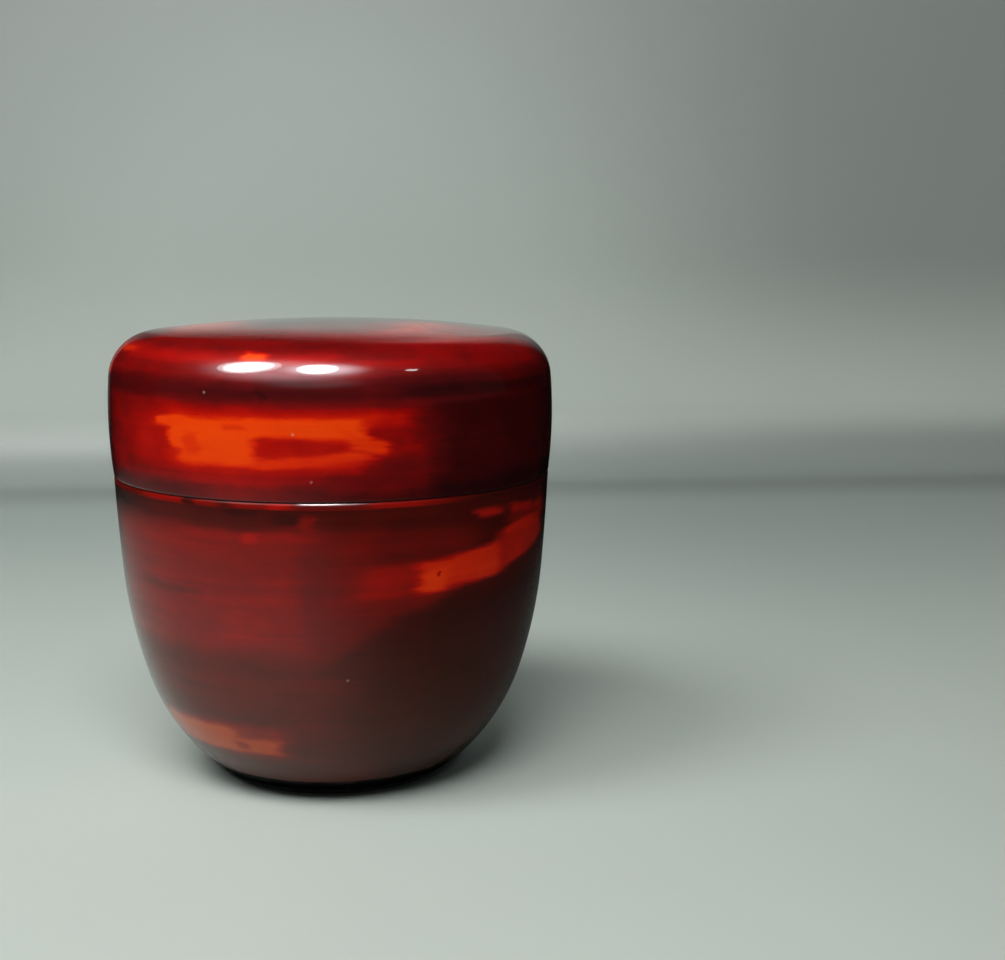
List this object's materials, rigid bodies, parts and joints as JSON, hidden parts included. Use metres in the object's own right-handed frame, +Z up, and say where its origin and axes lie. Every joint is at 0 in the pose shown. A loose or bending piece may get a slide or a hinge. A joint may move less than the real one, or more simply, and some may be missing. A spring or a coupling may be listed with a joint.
{
  "type": "lacquer tea caddy",
  "caption": "Round turned caddy for powdered tea, with a rounded base and a domed pull-off lid over an upright inner rim, in mottled red and black lacquer.",
  "frame": {"origin": "centre of the underside, on the plane that the caddy stands on", "axes": "+Z up along the axis that the caddy was turned on, -Y towards the front"},
  "size_m": [0.067, 0.067, 0.069],
  "materials": {
    "mottled_lacquer": "polished vermilion and black lacquer, mottled, very glossy",
    "black_lacquer": "polished black lacquer",
    "turned_wood": "fine-grained turned wood, under the coats"
  },
  "bodies": {
    "caddy_body": {"body_core": "turned_wood", "body_outer_lacquer": "mottled_lacquer", "body_rim_lacquer": "black_lacquer", "body_inner_lacquer": "black_lacquer", "foot_lacquer": "black_lacquer"},
    "caddy_lid": {"lid_core": "turned_wood", "lid_outer_lacquer": "mottled_lacquer", "lid_inner_lacquer": "black_lacquer"}
  },
  "joints": [
    {"name": "lid_lift", "type": "slide", "parent": "caddy_body", "child": "caddy_lid", "axis": [0, 0, 1], "range_m": [0, 0.04]}
  ]
}
